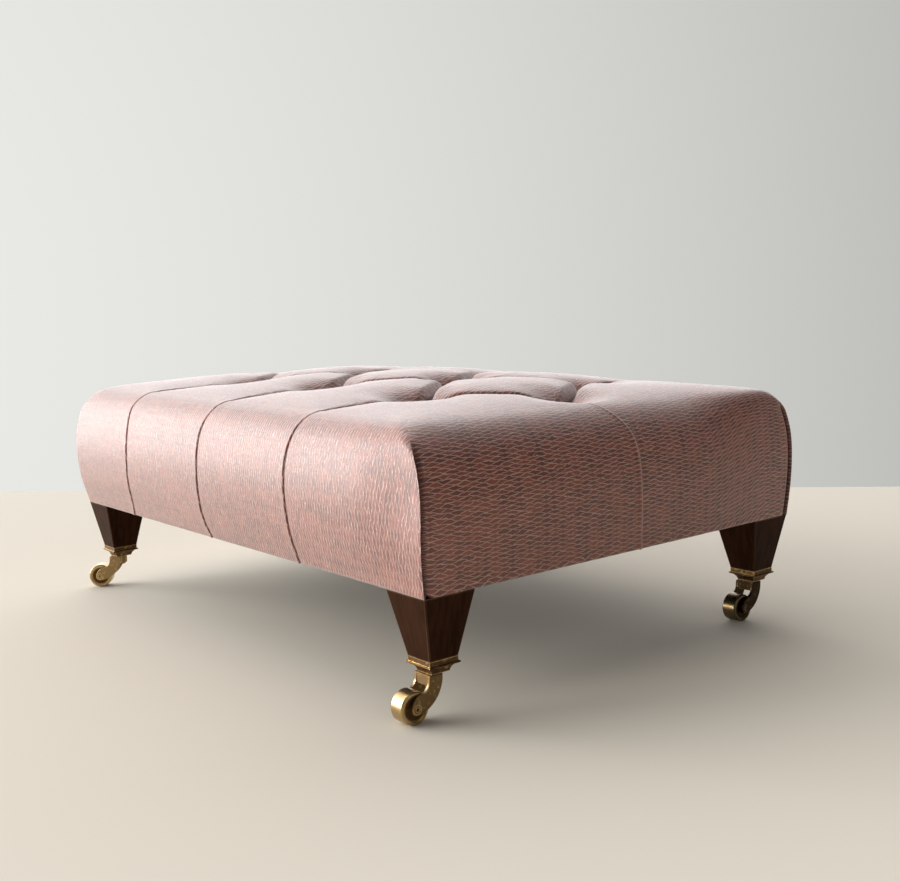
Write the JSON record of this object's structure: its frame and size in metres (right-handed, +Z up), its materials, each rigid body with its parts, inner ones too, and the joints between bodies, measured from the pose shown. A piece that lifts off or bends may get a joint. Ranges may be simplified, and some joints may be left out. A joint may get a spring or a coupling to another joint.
{
  "type": "footstool",
  "caption": "Low rectangular footstool with a deep-buttoned woven cover on a wooden frame, square tapered wooden legs and brass swivel castors in square cups.",
  "frame": {"origin": "on the floor under the middle of the stool", "axes": "+X along the long side to the right, +Y along the short side to the back, +Z up"},
  "size_m": [0.6666, 0.4802, 0.2533],
  "materials": {
    "woven_cloth": "small woven lozenges in dull red and pale pink",
    "stuffing": "loose fibre",
    "webbing": "coarse jute",
    "hessian": "open weave",
    "black_cloth": "thin lining cloth",
    "twine": "twisted",
    "frame_wood": "planed beech",
    "leg_wood": "dark stained and polished",
    "old_brass": "aged, bright on the edges",
    "steel": "plain",
    "blued_steel": "blued"
  },
  "bodies": {
    "stool": {"bottom_cloth": "black_cloth", "bottom_tacks": "blued_steel", "button_twines": "twine", "castor_cup_back_left": "old_brass", "castor_cup_back_right": "old_brass", "castor_cup_front_left": "old_brass", "castor_cup_front_right": "old_brass", "corner_post_back_left": "frame_wood", "corner_post_back_right": "frame_wood", "corner_post_front_left": "frame_wood", "corner_post_front_right": "frame_wood", "cover": "woven_cloth", "cover_buttons": "woven_cloth", "cup_pins": "old_brass", "dowels": "frame_wood", "hessian": "hessian", "leg_back_left": "leg_wood", "leg_back_right": "leg_wood", "leg_bolts": "steel", "leg_front_left": "leg_wood", "leg_front_right": "leg_wood", "leg_nuts": "steel", "leg_washers": "steel", "long_rail_back": "frame_wood", "long_rail_front": "frame_wood", "pivot_back_left": "old_brass", "pivot_back_right": "old_brass", "pivot_front_left": "old_brass", "pivot_front_right": "old_brass", "short_rail_left": "frame_wood", "short_rail_right": "frame_wood", "side_wadding": "stuffing", "stuffing": "stuffing", "webbing_cross": "webbing", "webbing_long": "webbing"},
    "castor_front_right": {"castor_horn_front_right": "old_brass", "axle_pin_front_right": "old_brass"},
    "roller_front_right": {"wheel_front_right": "old_brass"},
    "castor_front_left": {"castor_horn_front_left": "old_brass", "axle_pin_front_left": "old_brass"},
    "roller_front_left": {"wheel_front_left": "old_brass"},
    "castor_back_right": {"castor_horn_back_right": "old_brass", "axle_pin_back_right": "old_brass"},
    "roller_back_right": {"wheel_back_right": "old_brass"},
    "castor_back_left": {"castor_horn_back_left": "old_brass", "axle_pin_back_left": "old_brass"},
    "roller_back_left": {"wheel_back_left": "old_brass"}
  },
  "joints": [
    {"name": "swivel_front_right", "type": "hinge", "parent": "stool", "child": "castor_front_right", "pos_m": [0.305, -0.2025, 0.0363], "axis": [0, 0, 1], "continuous": true},
    {"name": "roll_front_right", "type": "hinge", "parent": "castor_front_right", "child": "roller_front_right", "pos_m": [0.30433, -0.22649, 0.01325], "axis": [0.9996, -0.0279, 0], "continuous": true},
    {"name": "swivel_front_left", "type": "hinge", "parent": "stool", "child": "castor_front_left", "pos_m": [-0.305, -0.2025, 0.0363], "axis": [0, 0, 1], "continuous": true},
    {"name": "roll_front_left", "type": "hinge", "parent": "castor_front_left", "child": "roller_front_left", "pos_m": [-0.31978, -0.22141, 0.01325], "axis": [0.788, -0.6157, 0], "continuous": true},
    {"name": "swivel_back_right", "type": "hinge", "parent": "stool", "child": "castor_back_right", "pos_m": [0.305, 0.2025, 0.0363], "axis": [0, 0, 1], "continuous": true},
    {"name": "roll_back_right", "type": "hinge", "parent": "castor_back_right", "child": "roller_back_right", "pos_m": [0.30496, 0.1785, 0.01325], "axis": [1, -0.0017, 0], "continuous": true},
    {"name": "swivel_back_left", "type": "hinge", "parent": "stool", "child": "castor_back_left", "pos_m": [-0.305, 0.2025, 0.0363], "axis": [0, 0, 1], "continuous": true},
    {"name": "roll_back_left", "type": "hinge", "parent": "castor_back_left", "child": "roller_back_left", "pos_m": [-0.30166, 0.22627, 0.01325], "axis": [-0.9903, 0.1392, 0], "continuous": true}
  ]
}
